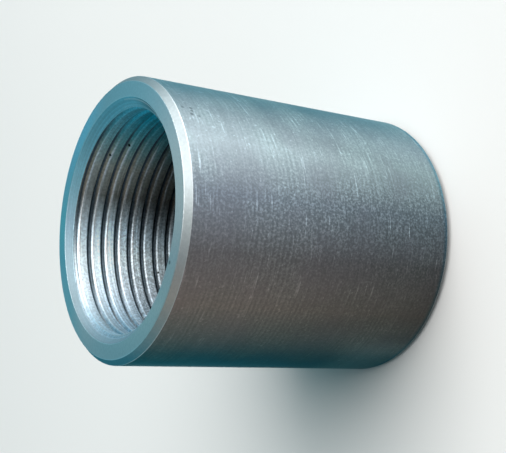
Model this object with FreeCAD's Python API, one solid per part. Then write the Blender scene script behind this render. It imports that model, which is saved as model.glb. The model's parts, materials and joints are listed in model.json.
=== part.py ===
"""Pipe socket: a short steel sleeve, bored right through for a 3/4 inch parallel pipe thread.

One turned piece, standing on its end with its axis on +Z and its lower end face at z = 0.
Its half section is drawn once, with both ends alike, and turned about the axis.
The bore is drawn at the thread's crests, the size it is drilled to before the thread is cut.
"""

import FreeCAD
import Part
import math
import os

from FreeCAD import Vector

# Driving dimensions, in millimetres and degrees
length = 36.0  # one end face to the other
outer_diameter = 32.4  # plain turned outside
wall = 2.98  # the outside to the bottoms of the thread
thread_depth = 0.445  # bottoms of the thread to its flat crests: it is cut shallow
mouth_clearance = 0.6  # each mouth's rim outside the thread's bottoms, along the radius
mouth_half_angle = 45.0  # side of a mouth's countersink, from the axis
end_chamfer = 0.65  # outer edge of each end, cut at 45 degrees
edge_radius = 0.2  # corners softened by the plating

thread_root_diameter = outer_diameter - 2 * wall  # bottoms of the thread, which the mouths have to clear
bore_diameter = thread_root_diameter - 2 * thread_depth  # crests of the thread
axis = Vector(0, 0, 1)


def end_corners():
    """Corners of one end from the bore outwards: radius, depth below the end face, rounding."""
    bore_radius = bore_diameter / 2
    outer_radius = outer_diameter / 2
    mouth_radius = thread_root_diameter / 2 + mouth_clearance
    mouth_depth = (mouth_radius - bore_radius) / math.tan(math.radians(mouth_half_angle))
    return [
        (bore_radius, mouth_depth, 0),
        (mouth_radius, 0, edge_radius),
        (outer_radius - end_chamfer, 0, edge_radius),
        (outer_radius, end_chamfer, edge_radius),
    ]


def section_corners():
    """Corners of the whole half section in the XZ plane: the lower end, then the upper end inwards."""
    corners = end_corners()
    lower = [(Vector(radius, 0, depth), rounding) for radius, depth, rounding in corners]
    upper = [(Vector(radius, 0, length - depth), rounding) for radius, depth, rounding in corners]
    return lower + upper[::-1]


def corner_arc(before, corner, after, radius):
    """Start, middle and end of the arc of this radius that touches both sides of a corner."""
    to_before = (before - corner).normalize()
    to_after = (after - corner).normalize()
    half_angle = to_before.getAngle(to_after) / 2
    reach = radius / math.tan(half_angle)
    centre = corner + (to_before + to_after).normalize() * (radius / math.sin(half_angle))
    middle = centre + (corner - centre).normalize() * radius
    return corner + to_before * reach, middle, corner + to_after * reach


def section_wire(corners):
    """Closed outline through the corners, each rounded by its own radius or left sharp where that is 0."""
    points = [point for point, _ in corners]
    arcs = []
    for index, (corner, radius) in enumerate(corners):
        after = points[(index + 1) % len(points)]
        arcs.append(corner_arc(points[index - 1], corner, after, radius) if radius else (corner,))
    edges = []
    for arc, next_arc in zip(arcs, arcs[1:] + arcs[:1]):
        if len(arc) == 3:
            edges.append(Part.Arc(*arc).toShape())
        edges.append(Part.LineSegment(arc[-1], next_arc[0]).toShape())
    return Part.Wire(edges)


def socket_body():
    """The half section turned once round the axis."""
    return Part.Face(section_wire(section_corners())).revolve(Vector(), axis, 360)


os.makedirs("parts", exist_ok=True)
socket_body().exportStep("parts/socket_body.step")
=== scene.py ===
import json
import math

import bpy
import numpy as np
from mathutils import Matrix, Vector


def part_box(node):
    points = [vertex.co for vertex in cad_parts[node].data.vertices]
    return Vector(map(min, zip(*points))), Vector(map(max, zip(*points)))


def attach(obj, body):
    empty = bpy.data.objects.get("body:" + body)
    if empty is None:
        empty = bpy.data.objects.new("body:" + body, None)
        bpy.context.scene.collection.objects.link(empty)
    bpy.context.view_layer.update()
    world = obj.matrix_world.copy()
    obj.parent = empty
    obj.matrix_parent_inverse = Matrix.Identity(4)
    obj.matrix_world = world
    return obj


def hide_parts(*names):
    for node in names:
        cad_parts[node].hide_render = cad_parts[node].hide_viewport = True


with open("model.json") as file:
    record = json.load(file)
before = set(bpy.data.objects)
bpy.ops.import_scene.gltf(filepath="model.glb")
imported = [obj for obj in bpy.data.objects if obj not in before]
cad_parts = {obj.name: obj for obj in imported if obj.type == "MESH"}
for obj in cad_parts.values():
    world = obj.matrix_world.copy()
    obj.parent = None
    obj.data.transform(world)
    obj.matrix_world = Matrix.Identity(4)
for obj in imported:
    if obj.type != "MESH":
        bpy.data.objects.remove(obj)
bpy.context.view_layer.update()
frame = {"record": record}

mm = 0.001
scene = bpy.context.scene


def hexColour(text):
    # sRGB hex to linear: the straight part near black, the power curve above it
    parts = np.array([int(text[i:i + 2], 16) for i in (1, 3, 5)]) / 255
    linear = np.where(parts <= 0.04045, parts / 12.92, ((parts + 0.055) / 1.055) ** 2.4)
    return (*linear.tolist(), 1.0)


def addNode(tree, kind, settings={}, output=0):
    # one node: a setting goes to the property or socket of its name, and another node's output is
    # linked to that socket. Gives back the output that is asked for
    node = tree.nodes.new(kind)
    for name, value in settings.items():
        if isinstance(value, bpy.types.NodeSocket):
            tree.links.new(value, node.inputs[name])
        elif isinstance(name, str) and hasattr(node, name):
            setattr(node, name, value)
        else:
            node.inputs[name].default_value = value
    return node.outputs[output]


# Socket: a turned section with a right-hand pipe thread through its bore

socketSizes = {
    "pitch": 25.4 / 14,  # mm, fourteen turns to the inch
    "flankAngle": 27.5,  # degrees, each flank of the thread from square to the axis
    "rootRadius": 13.22,  # mm, bottoms of the thread
    "rootRound": 0.249,  # mm, the standard form's rounded groove
    "crestRound": 0.15,  # mm, edges of the flat crests, softened by the plating
    "threadStart": 302.6,  # degrees round from +X, where the groove runs out at the upper end
    "mouthClearance": 0.6,  # mm, mouth's rim outside the thread's bottoms
    "endChamfer": 0.65,  # mm, outer edge of each end, at 45 degrees
    "edgeRound": 0.2,  # mm, the section's other corners
    "rimDepth": 0.15,  # mm down each 45 degree mouth, where the bore's grid takes over
    "weld": 0.02,  # mm, bore points this near to a rim become part of it
    "columns": 240,  # steps round the axis
    "sectionArcs": (4,) * 6,  # steps on each corner of the outside, from rim to rim
    "sectionRuns": (1, 3, 1, 12, 1, 3, 1),  # and on the straight runs between
    "threadArcs": (3, 6, 3),  # steps on the crest's edge, the root and the next crest's edge
    "threadRuns": (1, 2, 2, 1),  # and on half a crest, the two flanks and half the next crest
}
zoneNames = ("wall", "chamfer", "mouth", "bore", "edge", "threadDepth")


def roundedPath(corners, rounds, arcSteps, runSteps):
    # straight runs between corners, and at each inner corner an arc that touches both runs.
    # The heading turns evenly on an arc, so its points are the run's end plus the radius times the
    # change of (sin, -cos) of the heading. Gives points, headings and each point's arc number, 0 on runs
    corners, rounds = np.array(corners), np.array(rounds)
    runs = np.diff(corners, axis=0)
    headings = np.arctan2(runs[:, 1], runs[:, 0])
    turns = (np.diff(headings) + np.pi) % (2 * np.pi) - np.pi
    trims = np.concatenate(([0], rounds * np.tan(abs(turns) / 2), [0]))
    along = np.stack((np.cos(headings), np.sin(headings)), 1)
    starts = corners[:-1] + along * trims[:-1, None]
    stops = corners[1:] - along * trims[1:, None]
    points, facing, arcs = [], [], []
    for i, first in enumerate(headings):
        share = np.linspace(0, 1, runSteps[i] + 1)[:, None]
        points.append(starts[i] + (stops[i] - starts[i]) * share)
        facing.append(np.full(len(share), first))
        arcs.append(np.zeros(len(share)))
        if i < len(turns):
            heading = first + turns[i] * np.linspace(0, 1, arcSteps[i] + 1)[1:-1]
            swing = np.stack((np.sin(heading) - np.sin(first), np.cos(first) - np.cos(heading)), 1)
            points.append(stops[i] + np.sign(turns[i]) * rounds[i] * swing)
            facing.append(heading)
            arcs.append(np.full(len(heading), i + 1))
    return np.concatenate(points), np.concatenate(facing), np.concatenate(arcs)


def turned(radius, height, angle):
    # a radius and a height, swung round the axis by the angle
    return np.stack(np.broadcast_arrays(radius * np.cos(angle), radius * np.sin(angle), height), -1)


def gridCells(grid):
    # the four corners of each cell of a grid, in order round the cell
    return np.stack((grid[:-1, :-1], grid[1:, :-1], grid[1:, 1:], grid[:-1, 1:]), -1).reshape(-1, 4)


def turnedOutside(sizes, outerRadius, length, angle):
    # the half section from the lower mouth's rim out, up the wall and in to the upper mouth's rim,
    # swung round the axis: a grid of angle by section point
    mouth = sizes["rootRadius"] + sizes["mouthClearance"]
    chamfer, rim = sizes["endChamfer"], sizes["rimDepth"]
    lower = [(mouth - rim, rim), (mouth, 0), (outerRadius - chamfer, 0), (outerRadius, chamfer)]
    upper = [(radius, length - height) for radius, height in reversed(lower)]
    arcSteps, runSteps = sizes["sectionArcs"], sizes["sectionRuns"]
    rounds = [sizes["edgeRound"]] * len(arcSteps)
    section, heading, arcs = roundedPath(lower + upper, rounds, arcSteps, runSteps)
    radius, height = section.T
    depth = np.minimum(height, length - height)
    return {
        "points": turned(radius, height, angle),
        "normals": turned(np.sin(heading), -np.cos(heading), angle),
        "wall": 0 * angle + (depth > chamfer),
        "chamfer": 0 * angle + (depth <= chamfer) * (radius > outerRadius - chamfer),
        "mouth": 0 * angle + (radius < mouth),
        "bore": 0 * angle + 0 * depth,
        "edge": 0 * angle + (arcs > 0),
        "threadDepth": 0 * angle + 0 * depth,
    }


def threadedBore(sizes, crestRadius, length, angle):
    # one turn of the thread from crest to crest, repeated up the axis and rising a pitch for each
    # time round, so that it is right-handed; where a mouth's cone lies outside the thread, the cone
    pitch, rootRadius = sizes["pitch"], sizes["rootRadius"]
    flank = math.radians(sizes["flankAngle"])
    meeting = rootRadius + sizes["rootRound"] * (1 / math.sin(flank) - 1)  # where the flanks would meet
    halfFlat = pitch / 2 - (meeting - crestRadius) * math.tan(flank)
    heights = [0, halfFlat, pitch / 2, pitch - halfFlat, pitch]
    radii = [crestRadius, crestRadius, meeting, crestRadius, crestRadius]
    rounds = [sizes["crestRound"], sizes["rootRound"], sizes["crestRound"]]
    corners = list(zip(radii, heights))
    oneTurn = roundedPath(corners, rounds, sizes["threadArcs"], sizes["threadRuns"])
    profile, heading, arcs = (values[:-1] for values in oneTurn)
    profileDepth = np.clip((profile[:, 0] - crestRadius) / (rootRadius - crestRadius), 0, 1)
    upperEdge = (arcs == 1) | (np.roll(arcs, -1) == 1)  # of each crest, from the end of its flat

    # the rows start below the lower end and stop above the upper one, all the way round
    below, spare = 2, 3  # turns under the lower end, and in all more than the length holds
    turns = math.ceil(length / pitch) + spare
    started = pitch * math.radians(sizes["threadStart"]) / (2 * np.pi)
    first = (length - pitch / 2 - started) % pitch - below * pitch
    climb = np.arange(turns)[:, None] * pitch + profile[:, 1]
    height = first + pitch * angle / (2 * np.pi) + climb.ravel()
    thread = np.tile(profile[:, 0], turns)
    mouth = rootRadius + sizes["mouthClearance"]
    gap = mouth - np.minimum(height, length - height) - thread  # above 0 where the cone is outside

    # between two rows where cone and thread cross, the nearer row moves onto the crossing
    crosses = gap[:, :-1] * gap[:, 1:] < 0
    share = np.where(crosses, gap[:, :-1] / np.where(crosses, gap[:, :-1] - gap[:, 1:], 1), 0)
    step = np.diff(height, axis=1)
    toNext, toLast = crosses & (share < 0.5), crosses & (share >= 0.5)
    height[:, :-1] += np.where(toNext, share * step, 0)
    height[:, 1:] -= np.where(toLast, (1 - share) * step, 0)
    onCrease = np.zeros(height.shape, bool)
    onCrease[:, :-1] |= toNext
    onCrease[:, 1:] |= toLast
    cone = mouth - np.minimum(height, length - height)
    radius = np.where(onCrease, cone, np.maximum(cone, thread))
    gap = np.where(onCrease, 0, gap)

    heading = np.tile(heading, turns)
    coneUp = np.sign(height - length / 2)
    return {
        "points": turned(radius, height, angle),
        "threadNormals": turned(-np.sin(heading), np.cos(heading) + 0 * angle, angle),
        "coneNormals": turned(-1, coneUp, angle) / math.sqrt(2),
        "gap": gap,
        "height": height,
        "perTurn": len(profile),
        "wall": 0 * gap,
        "chamfer": 0 * gap,
        "mouth": (gap > 0) + 0.5 * onCrease,
        "bore": (gap < 0) + 0.5 * onCrease,
        "edge": 0 * angle + np.tile(upperEdge, turns),
        "threadDepth": 0 * angle + np.tile(profileDepth, turns),
    }


def socketObject(sizes):
    # both grids, joined along the mouths' rims into one closed mesh, with a normal for each corner
    # of a cell and the zones as attributes of the points
    low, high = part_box("socket_body")
    outerRadius, length = (high.x - low.x) / 2 / mm, (high.z - low.z) / mm
    mounts = {mount["name"]: mount for mount in frame["record"]["mounts"]}
    crestRadius = mounts["upper_thread"]["dims"]["r_mm"]
    columns = sizes["columns"]
    angle = np.linspace(0, 2 * np.pi, columns + 1)[:, None]
    outside = turnedOutside(sizes, outerRadius, length, angle)
    bore = threadedBore(sizes, crestRadius, length, angle)

    # vertex numbers: the outside closes on its first column; the bore's rows past a rim are that
    # rim, and its last column is its first one a turn higher
    rows = outside["points"].shape[1]
    outsideIds = (np.arange(columns + 1) % columns)[:, None] * rows + np.arange(rows)
    height, perTurn = bore["height"], bore["perTurn"]
    welded = sizes["rimDepth"] + sizes["weld"]
    boreIds = columns * rows + np.arange(height.size).reshape(height.shape)
    boreIds = np.where(height < welded, outsideIds[:, :1], boreIds)
    boreIds = np.where(height > length - welded, outsideIds[:, -1:], boreIds)
    boreIds[-1] = np.append(boreIds[0, perTurn:], np.full(perTurn, outsideIds[0, -1]))

    # cells of both grids with the normals at their corners; a bore cell is cone or thread as most
    # of it is
    outsideCells = gridCells(np.arange(outsideIds.size).reshape(outsideIds.shape))
    boreCells = gridCells(np.arange(height.size).reshape(height.shape))[:, ::-1]
    isCone = bore["gap"].ravel()[boreCells].sum(1) > 0
    boreNormals = np.where(
        isCone[:, None, None],
        bore["coneNormals"].reshape(-1, 3)[boreCells],
        bore["threadNormals"].reshape(-1, 3)[boreCells])
    cells = np.concatenate((outsideIds.ravel()[outsideCells], boreIds.ravel()[boreCells]))
    normals = np.concatenate((outside["normals"].reshape(-1, 3)[outsideCells], boreNormals))

    # a corner that repeats the next one goes, and with it the cells that are left with no area
    keep = cells != np.roll(cells, -1, axis=1)
    keep &= keep.sum(1, keepdims=True) > 2
    sides = keep.sum(1)
    sides = sides[sides > 0]
    used, corners = np.unique(cells[keep], return_inverse=True)
    points = np.concatenate((outside["points"][:-1].reshape(-1, 3), bore["points"].reshape(-1, 3)))[used]

    mesh = bpy.data.meshes.new("socketBody")
    mesh.vertices.add(len(points))
    mesh.vertices.foreach_set("co", points.ravel() * mm)
    mesh.loops.add(len(corners))
    mesh.loops.foreach_set("vertex_index", corners.astype(np.int32))
    mesh.polygons.add(len(sides))
    mesh.polygons.foreach_set("loop_start", np.append(0, np.cumsum(sides)[:-1]).astype(np.int32))
    mesh.update(calc_edges=True)
    for name in zoneNames:
        values = np.concatenate((outside[name][:-1].ravel(), bore[name].ravel()))[used]
        attribute = mesh.attributes.new(name, "FLOAT", "POINT")
        attribute.data.foreach_set("value", values.astype(np.float32))
    mesh.polygons.foreach_set("use_smooth", np.ones(len(sides), bool))
    mesh.normals_split_custom_set(normals[keep])
    print("socket:", len(points), "vertices,", int((sides - 2).sum()), "triangles")
    print("socket mesh changed by validate:", mesh.validate())
    socket = bpy.data.objects.new("socketBody", mesh)
    scene.collection.objects.link(socket)
    return socket


# Zinc plate over turned steel, blue passivated: a satin, faintly grainy metal with fine marks round the
# axis.
# Its colour also holds painted light: painted shade on one side and painted light on the other, a bluish
# tone that is partly the plate's and partly a painted reflection of a blue-green surround, painted
# highlights on the thread's crest edges, and painted shade in its roots and deep in the bore

zincPlate = {
    "plateTonesAndPaintedLight": {  # by place across the socket, mm along X: the plate's tones with painted light and shade from side to side, and bluish painted reflection
        "ends": {-14.5: "#cabfbe", -9: "#eed8d2", -3.8: "#d9cecd", 4: "#c1c2c0", 13: "#c9cbce"},
        "shadedEnds": {-12: "#92b6bb", -5: "#72abb7", 0: "#7dc0c9", 9: "#b8e0ee"},
        "wall": {
            -14: "#566160",
            -8.5: "#756c66",
            -3: "#686769",
            3: "#848f9a",
            8.5: "#b7c7cd",
            12.5: "#9babb1",
        },
        "chamfer": {
            -15: "#67959f",
            -11: "#b7bcba",
            -8: "#d2cbc3",
            -4: "#acb3b5",
            0: "#a0a8a9",
            4: "#acb3b5",
            8.5: "#9ea5a7",
            13: "#acb3b5",
        },
        "mouth": {
            -14: "#b0c3cd",
            -9.4: "#8c9da4",
            -4: "#93a8b1",
            0: "#96b2c0",
            6.5: "#a8e2f0",
            12.5: "#8fcbd8",
        },
        "bore": {
            -13: "#9bb7c8",
            -8: "#d7e3ec",
            -4: "#ebfaff",
            -1: "#def3ff",
            3.5: "#84857f",
            7: "#c4c4b8",
            9.8: "#92cacb",
            12.5: "#48c4d7",
        },
    },
    "colours": {
        "shadedChamfer": "#c2edf0",
        "lowerChamfer": "#6a9cb0",
        "lowerBand": "#ccf2ff",  # lowest edge of the wall, above the lower chamfer: bluish, a painted reflection
        "darkerLowerEnd": "#c6ccca",  # darker towards the lower end of the wall
        "mottle": "#f8f4f7",  # faintly purple patches of the wall
        # painted shade in the thread's roots, and a lighter one at the bottom as painted light
        "root": "#56626a",
        "paintedLitRoot": "#b4babf",
        "flank": "#fff3e2",  # painted light on the thread's flanks, towards +X
        "edge": "#dfe6e8",
        "pit": "#23292b",
        "filmAndPaintedReflection": "#62adbd",  # tint of the gloss at a glancing angle: partly the plate's film, partly a painted reflection of a blue-green surround
        "white": "#ffffff",
    },
    "noises": {  # mm; the real grain and sand are finer than the render shows
        "grain": 0.3,
        "sand": 0.25,
        "flecks": 0.42,
        "patches": 6.0,
    },
    "noiseDetail": 3,
    "turnedNoises": {  # mm round the axis, mm along it; real marks are finer than the render shows
        "marks": (40, 0.25),
        "scratches": (4, 0.25),
    },
    "turnedDetail": 2,
    "ringSpacing": 0.6,  # mm, marks of the turning tool
    "ringBend": 1.0,  # how far they stray from even rings
    "acrossEnds": 0.6,  # closeness of the marks on the end faces, against that on the wall
    "pits": {  # mm, place in the plate: share of the dark tone
        (8.32, 9.92, 32.52): 1.0,
        (9.67, 8.61, 30.71): 1.0,
        (-5.6, 11.5, 23.9): 1.0,
        (-4.4, -13.5, 36): 0.5,
        (11.8, -11.1, 34.6): 0.35,
        (11.8, -11.1, 33.6): 0.4,
        (11.5, -11.4, 33.6): 0.45,
        (11.1, -11.8, 33.8): 0.5,
        (11, -11.9, 33): 0.35,
    },
    "pitRadius": 0.25,  # mm
    "effects": {  # what each follows, where it starts and is complete, its values there
        "upperWall": ("z", 2, 36, 0, 1),
        "sides": ("fromAxis", 8, 12.5, 0, 0.7),
        "mottle": ("patches", 0.35, 0.65, 0, 1),
        "floorSide": ("x", -11, -13.5, 0, 1),
        "floorLight": ("z", 13, 3, 1, 1.8),
        "lowerBand": ("z", 1.4, 0.8, 0, 1),
        "sand": ("sand", 0.4, 0.7, 0.76, 1.55),
        "sandFront": ("x", -9, 2, 0.35, 1),
        "sandLight": ("x", 3, 8, 1, 0.35),
        "sandLower": ("z", 35, 12, 0.65, 1),
        "sandPatches": ("patches", 0.4, 0.6, 0.7, 1),
        "wallMarks": ("marks", 0.35, 0.65, 0.95, 1.05),
        "ringPatches": ("patches", 0.48, 0.6, 0, 1),
        "rings": ("rings", 0, 1, 0.93, 1.07),
        "scratchPatches": ("patches", 0.36, 0.52, 0, 1),
        "scratches": ("scratches", 0.61, 0.74, 1, 1.6),
        "scratchLower": ("x", -3, -8, 1, 0.25),
        "scratchFront": ("x", 4, 1, 0, 0.8),
        "flecks": ("flecks", 0.6, 0.75, 1, 1.4),
        "boreMarks": ("marks", 0.35, 0.65, 0.84, 1.2),
        "boreDepth": ("fromMiddle", 5, 13.5, 0.25, 1),
        "boreShade": ("x", -6, 3, 0.55, 1),
        "boreEnds": ("fromMiddle", 13, 16.5, 0, 0.3),
        "deepGrain": ("grain", 0.35, 0.65, 0.85, 1.17),
        "deepBore": ("fromMiddle", 12.5, 9, 0, 1),
        "lowerSide": ("x", 5, 0, 0.25, 1),
        "pastMouth": ("fromMiddle", 17.02, 16.8, 0, 1),
        "root": ("threadDepth", 0.2, 0.7, 0, 1),
        "narrowRoot": ("threadDepth", 0.65, 0.95, 0, 1),
        "upperSide": ("x", 1, 6, 0, 1),
        "bottomSide": ("x", -7, -11, 0, 1),
        "flankSide": ("x", 1.5, 5, 0, 0.75),
        "groove": ("threadDepth", 0.02, 0.25, 0, 1),
        "paintedLitRoot": ("x", -10, -12.5, 0, 1),
        "mouthMarks": ("marks", 0.35, 0.65, 0.9, 1.07),
        "mouthSide": ("x", 8, 11.5, 0, 1),
        "mouthShade": ("y", -1, -6, 1, 0.4),
        "shadedEnds": ("y", 4, 11, 0, 1),
        "lowerEnd": ("z", 2, 0.7, 0, 1),
        "edge": ("edge", 0.6, 1, 0, 0.5),
        "edgeShare": ("bore", 0, 1, 1, 0.1),
        "crestEdge": ("edge", 0.35, 1, 0, 0.95),
        # where the thread's painted light and painted highlights fade out, towards +X
        "paintedLightFade": ("x", 11, 8, 0, 1),
        "lowEdge": ("x", -9.5, -4, 0.2, 1),
        "edgeBreaks": ("scratches", 0.4, 0.58, 0.3, 1),
        "edgeDepth": ("fromMiddle", 6, 12, 0.25, 1),
        "rootShare": ("x", 13, 10, 0.5, 1),
        "grain": ("grain", 0.3, 0.7, 0.84, 1.14),
        "grainShare": ("bore", 0, 1, 0.3, 1),
        "wallRoughness": ("patches", 0.3, 0.7, 0.39, 0.45),
    },
    "products": {  # effects that hold only where all of these do
        "sandy": ("sandFront", "sandLight", "sandLower", "sandPatches"),
        "scratched": ("scratchPatches", "scratchLower"),
        "frontScratched": ("scratchFront", "scratchLower"),
        "inGroove": ("groove", "pastMouth"),
        "inRoot": ("narrowedRoot", "rootShare", "pastMouth"),
        "paintedLitFlank": ("inGroove", "flankSide", "paintedLightFade"),
        "paintedCrestHighlight": ("crestEdge", "paintedLightFade", "lowEdge", "edgeBreaks", "fading"),
        "inDeepBore": ("deepBore", "lowerSide"),
        "outerEdge": ("edge", "edgeShare"),
    },
    "roughness": {
        "ends": 0.38,
        "chamfer": 0.6,
        "mouth": 0.7,
        "bore": 0.66,
        "groove": 0.45,
        "crestEdge": 0.45,
    },
    "relief": 0.012,  # mm, height of the grain and the marks
    "spread": 0.6,  # of the gloss, more across the marks than along them
    "spreadTurn": 0.25,  # a quarter turn from the rings, so that it is along the axis
}


def zincPlatedSteel(look, reach, length):
    material = bpy.data.materials.new("zincPlatedTurnedSteel")
    material.use_nodes = True
    tree = material.node_tree
    shader = tree.nodes["Principled BSDF"].inputs
    colours = {name: hexColour(text) for name, text in look["colours"].items()}

    # a Mix node's sockets: 0 is the share, 2 and 3 are its numbers, 6 and 7 its colours, and its
    # output 2 is the colour
    tint = {"data_type": "RGBA"}
    multiply = {"data_type": "RGBA", "blend_type": "MULTIPLY"}

    # places in millimetres; "inwards" goes on across the end faces and mouths, so that marks do too
    metres = addNode(tree, "ShaderNodeTexCoord", {}, "Object")
    place = addNode(tree, "ShaderNodeVectorMath", {"operation": "SCALE", 0: metres, "Scale": 1 / mm})
    x, y, z = (addNode(tree, "ShaderNodeSeparateXYZ", {0: place}, axis) for axis in "XYZ")
    flat = addNode(tree, "ShaderNodeVectorMath", {"operation": "MULTIPLY", 0: place, 1: (1, 1, 0)})
    radius = addNode(tree, "ShaderNodeVectorMath", {"operation": "LENGTH", 0: flat}, "Value")
    inwards = addNode(tree, "ShaderNodeMath", {
        "operation": "MULTIPLY_ADD", 0: radius, 1: look["acrossEnds"], 2: z})
    unrolled = addNode(tree, "ShaderNodeCombineXYZ", {"X": x, "Y": y, "Z": inwards})
    above = addNode(tree, "ShaderNodeMath", {"operation": "SUBTRACT", 0: z, 1: length / 2})

    sources = {"x": x, "y": y, "z": z}
    sources["fromAxis"] = addNode(tree, "ShaderNodeMath", {"operation": "ABSOLUTE", 0: x})
    sources["fromMiddle"] = addNode(tree, "ShaderNodeMath", {"operation": "ABSOLUTE", 0: above})
    for name in zoneNames:
        sources[name] = addNode(tree, "ShaderNodeAttribute", {"attribute_name": name}, "Fac")

    # noise of the plate, noise that is stretched round the axis, and the turning tool's rings
    for name, size in look["noises"].items():
        sources[name] = addNode(tree, "ShaderNodeTexNoise", {
            "Vector": place, "Scale": 1 / size, "Detail": look["noiseDetail"]})
    for name, (around, along) in look["turnedNoises"].items():
        stretched = addNode(tree, "ShaderNodeVectorMath", {
            "operation": "DIVIDE", 0: unrolled, 1: (around, around, along)})
        sources[name] = addNode(tree, "ShaderNodeTexNoise", {
            "Vector": stretched, "Scale": 1.0, "Detail": look["turnedDetail"]})
    waveFactor = 20  # the wave texture's own factor on the place
    sources["rings"] = addNode(tree, "ShaderNodeTexWave", {
        "bands_direction": "Z", "Vector": unrolled,
        "Scale": 2 * math.pi / waveFactor / look["ringSpacing"],
        "Distortion": look["ringBend"], "Detail": 0.0})

    effects = {}
    for name, (source, start, stop, low, high) in look["effects"].items():
        effects[name] = addNode(tree, "ShaderNodeMapRange", {
            "interpolation_type": "SMOOTHSTEP", "Value": sources[source],
            "From Min": start, "From Max": stop, "To Min": low, "To Max": high})

    # tones across the socket: the plate's own, with painted light and shade from side to side
    across = addNode(tree, "ShaderNodeMapRange", {"Value": x, "From Min": -reach, "From Max": reach})
    plateTonesAndPaintedLight = {}
    for name, places in look["plateTonesAndPaintedLight"].items():
        plateTonesAndPaintedLight[name] = addNode(tree, "ShaderNodeValToRGB", {"Fac": across})
        stops = plateTonesAndPaintedLight[name].node.color_ramp.elements
        while len(stops) < len(places):
            stops.new(1.0)
        for stop, (spot, tone) in zip(stops, places.items()):
            stop.position = (spot + reach) / (2 * reach)
            stop.color = hexColour(tone)

    # the larger of two effects, one that goes over to another, and the products
    bright, narrowing = (
        addNode(tree, "ShaderNodeMath", {"operation": "MAXIMUM", 0: effects[first], 1: effects[second]})
        for first, second in (("upperWall", "sides"), ("upperSide", "bottomSide")))
    effects["narrowedRoot"] = addNode(tree, "ShaderNodeMix", {
        0: narrowing, 2: effects["root"], 3: effects["narrowRoot"]})
    effects["fading"] = addNode(tree, "ShaderNodeMix", {
        0: effects["upperSide"], 2: effects["edgeDepth"], 3: 1.0})
    for name, factors in look["products"].items():
        effects[name] = effects[factors[0]]
        for factor in factors[1:]:
            effects[name] = addNode(tree, "ShaderNodeMath", {
                "operation": "MULTIPLY", 0: effects[name], 1: effects[factor]})

    # tones that change from place to place: darker towards the lower end but not at the sides, patches
    # of the wall, and the roots' painted shade, lighter at the bottom where painted light falls on them
    darkerLowerEnd, mottled, root = (
        addNode(tree, "ShaderNodeMix", {**tint, 0: share, 6: colours[first], 7: colours[second]}, 2)
        for share, first, second in (
            (bright, "darkerLowerEnd", "white"),
            (effects["mottle"], "mottle", "white"),
            (effects["paintedLitRoot"], "root", "paintedLitRoot")))

    # each zone's layers: how they mix, how much, and the tone or factor
    layers = {
        "wall": [
            (multiply, 1.0, darkerLowerEnd),
            (multiply, 1.0, mottled),
            (multiply, effects["floorSide"], effects["floorLight"]),
            (multiply, effects["lowerBand"], colours["lowerBand"]),
            (multiply, effects["sandy"], effects["sand"]),
            (multiply, 1.0, effects["wallMarks"]),
            (multiply, effects["ringPatches"], effects["rings"]),
            (multiply, effects["scratched"], effects["scratches"]),
            (multiply, effects["frontScratched"], effects["scratches"]),
            (multiply, 1.0, effects["flecks"]),
        ],
        "chamfer": [
            (multiply, 1.0, darkerLowerEnd),
            (multiply, effects["shadedEnds"], colours["shadedChamfer"]),
            (multiply, effects["lowerEnd"], colours["lowerChamfer"]),
        ],
        "mouth": [
            (multiply, 1.0, effects["mouthMarks"]),
            (multiply, effects["mouthSide"], effects["mouthShade"]),
        ],
        "bore": [
            (multiply, 1.0, effects["boreMarks"]),
            # painted highlights on the crests' upper edges
            (tint, effects["paintedCrestHighlight"], colours["white"]),
            (tint, effects["boreEnds"], colours["edge"]),
            # painted light on the flanks
            (tint, effects["paintedLitFlank"], colours["flank"]),
            # painted shade in the thread's roots
            (tint, effects["inRoot"], root),
            (multiply, effects["inDeepBore"], effects["deepGrain"]),
            # painted shade, darker deeper in the bore
            (multiply, effects["boreShade"], effects["boreDepth"]),
        ],
    }
    for name, zoneLayers in layers.items():
        for kind, share, tone in zoneLayers:
            plateTonesAndPaintedLight[name] = addNode(tree, "ShaderNodeMix", {**kind, 0: share, 6: plateTonesAndPaintedLight[name], 7: tone}, 2)

    colour = addNode(tree, "ShaderNodeMix", {
        **tint, 0: effects["shadedEnds"], 6: plateTonesAndPaintedLight["ends"], 7: plateTonesAndPaintedLight["shadedEnds"]}, 2)
    for name in layers:
        colour = addNode(tree, "ShaderNodeMix", {**tint, 0: sources[name], 6: colour, 7: plateTonesAndPaintedLight[name]}, 2)
    finish = [
        (tint, effects["outerEdge"], colours["edge"]),
        (multiply, effects["grainShare"], effects["grain"]),
    ]
    for spot, share in look["pits"].items():
        away = addNode(tree, "ShaderNodeVectorMath", {
            "operation": "DISTANCE", 0: place, 1: spot}, "Value")
        inPit = addNode(tree, "ShaderNodeMapRange", {
            "interpolation_type": "SMOOTHSTEP", "Value": away, "To Max": share,
            "From Min": look["pitRadius"], "From Max": look["pitRadius"] / 2})
        finish.append((tint, inPit, colours["pit"]))
    for kind, share, tone in finish:
        colour = addNode(tree, "ShaderNodeMix", {**kind, 0: share, 6: colour, 7: tone}, 2)
    tree.links.new(colour, shader["Base Color"])

    inEdge = addNode(tree, "ShaderNodeMath", {
        "operation": "MULTIPLY", 0: sources["bore"], 1: effects["paintedCrestHighlight"]})
    roughness = look["roughness"]["ends"]
    for share, value in (
            (sources["chamfer"], look["roughness"]["chamfer"]),
            (sources["wall"], effects["wallRoughness"]),
            (sources["mouth"], look["roughness"]["mouth"]),
            (sources["bore"], look["roughness"]["bore"]),
            (effects["inGroove"], look["roughness"]["groove"]),
            (inEdge, look["roughness"]["crestEdge"])):
        roughness = addNode(tree, "ShaderNodeMix", {0: share, 2: roughness, 3: value})
    tree.links.new(roughness, shader["Roughness"])

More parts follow.
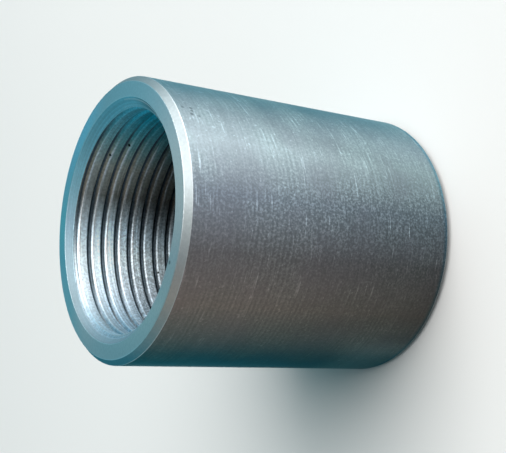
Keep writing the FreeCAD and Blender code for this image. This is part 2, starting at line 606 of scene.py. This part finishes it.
    relief = addNode(
        tree, "ShaderNodeMath", {"operation": "ADD", 0: sources["marks"], 1: sources["grain"]})
    bump = addNode(tree, "ShaderNodeBump", {
        "Strength": 1.0, "Distance": look["relief"] * mm, "Height": relief})
    tree.links.new(bump, shader["Normal"])
    tangent = addNode(tree, "ShaderNodeTangent", {"direction_type": "RADIAL", "axis": "Z"})
    tree.links.new(tangent, shader["Tangent"])
    shader["Metallic"].default_value = 1.0
    shader["Anisotropic"].default_value = look["spread"]
    shader["Anisotropic Rotation"].default_value = look["spreadTurn"]
    shader["Specular Tint"].default_value = colours["filmAndPaintedReflection"]
    print("material:", material.name, len(tree.nodes), "nodes")
    return material


socket = socketObject(socketSizes)
reach, length = socket.dimensions.x / 2 / mm, socket.dimensions.z / mm
socket.data.materials.append(zincPlatedSteel(zincPlate, reach, length))
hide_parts("socket_body")
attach(socket, "root")


# Floor, light and camera. The floor is a board painted matt white: pale, with next to no gloss

floorBoard = {
    "side": 8.0,  # m
    "below": 0.02,  # mm under the socket, so that the two faces don't fight
    "colour": "#d6d4d1",
    "roughness": 0.9,
    "specular": 0.2,
}


def paintedFloor(board):
    # a square about the axis, just under the socket
    half, height = board["side"] / 2, -board["below"] * mm
    mesh = bpy.data.meshes.new("floor")
    corners = [(x * half, y * half, height) for x, y in ((-1, -1), (1, -1), (1, 1), (-1, 1))]
    mesh.from_pydata(corners, [], [(0, 1, 2, 3)])
    material = bpy.data.materials.new("matteWhiteBoard")
    material.use_nodes = True
    shader = material.node_tree.nodes["Principled BSDF"].inputs
    shader["Base Color"].default_value = hexColour(board["colour"])
    shader["Roughness"].default_value = board["roughness"]
    shader["Specular IOR Level"].default_value = board["specular"]
    mesh.materials.append(material)
    floor = bpy.data.objects.new("floor", mesh)
    scene.collection.objects.link(floor)


softbox = {
    "spot": (762, -360, 536),  # mm
    "aim": (438, -360, 0),  # mm
    "size": (1200, 1640),  # mm
    "watts": 26.5,
}
worldLight = {
    "front": "#8b9092",  # towards -Y
    "back": "#81c8d8",  # towards +Y
    "sides": (-0.3, 0.7),  # from front to back, by the direction's Y
    "overhead": 0.12,  # share of it that is left above
    "dome": (0.5, 0.95),  # from the sides to overhead, by the direction's Z
}


def studioLight(lamp, world):
    # one large softbox that faces its aim, and a world whose colour goes from front to back and
    # which is darker overhead
    data = bpy.data.lights.new("softbox", "AREA")
    data.shape = "RECTANGLE"
    data.size, data.size_y = (side * mm for side in lamp["size"])
    data.energy = lamp["watts"]
    spot, aim = Vector(lamp["spot"]) * mm, Vector(lamp["aim"]) * mm
    light = bpy.data.objects.new("softbox", data)
    turn = (aim - spot).to_track_quat("-Z", "Y").to_matrix().to_4x4()
    light.matrix_world = Matrix.Translation(spot) @ turn
    scene.collection.objects.link(light)

    scene.world = bpy.data.worlds.new("studio")
    scene.world.use_nodes = True
    tree = scene.world.node_tree
    way = addNode(tree, "ShaderNodeTexCoord", {}, "Generated")
    y, z = (addNode(tree, "ShaderNodeSeparateXYZ", {0: way}, axis) for axis in "YZ")
    toBack = addNode(tree, "ShaderNodeMapRange", {
        "interpolation_type": "SMOOTHSTEP", "Value": y,
        "From Min": world["sides"][0], "From Max": world["sides"][1]})
    colour = addNode(tree, "ShaderNodeMix", {
        "data_type": "RGBA", 0: toBack, 6: hexColour(world["front"]), 7: hexColour(world["back"])}, 2)
    strength = addNode(tree, "ShaderNodeMapRange", {
        "interpolation_type": "SMOOTHSTEP", "Value": z,
        "From Min": world["dome"][0], "From Max": world["dome"][1],
        "To Min": 1.0, "To Max": world["overhead"]})
    background = tree.nodes["Background"].inputs
    tree.links.new(colour, background["Color"])
    tree.links.new(strength, background["Strength"])


pictureCamera = {
    "spot": (-4.983, -100.719, 83.725),  # mm
    "aim": (0.831, -0.278, 17.651),  # mm
    "topSide": (0.996, 0, 0.088),  # up in the picture: the camera is turned on its side
    "lens": 70.41,  # mm
    "sensor": 36,  # mm wide
    "nearest": 5,  # mm
}


def placeCamera(view):
    # looks from its spot to its aim; right is square to that and to the top side, up to both
    spot, aim = Vector(view["spot"]) * mm, Vector(view["aim"]) * mm
    forward = (aim - spot).normalized()
    right = forward.cross(Vector(view["topSide"])).normalized()
    up = right.cross(forward)
    data = bpy.data.cameras.new("camera")
    data.lens = view["lens"]
    data.sensor_width = view["sensor"]
    data.clip_start = view["nearest"] * mm
    camera = bpy.data.objects.new("camera", data)
    turn = Matrix((right, up, -forward)).transposed().to_4x4()
    camera.matrix_world = Matrix.Translation(spot) @ turn
    scene.collection.objects.link(camera)
    scene.camera = camera


paintedFloor(floorBoard)
studioLight(softbox, worldLight)
placeCamera(pictureCamera)
scene.view_settings.view_transform = "Standard"
print("floor, light and camera in place")
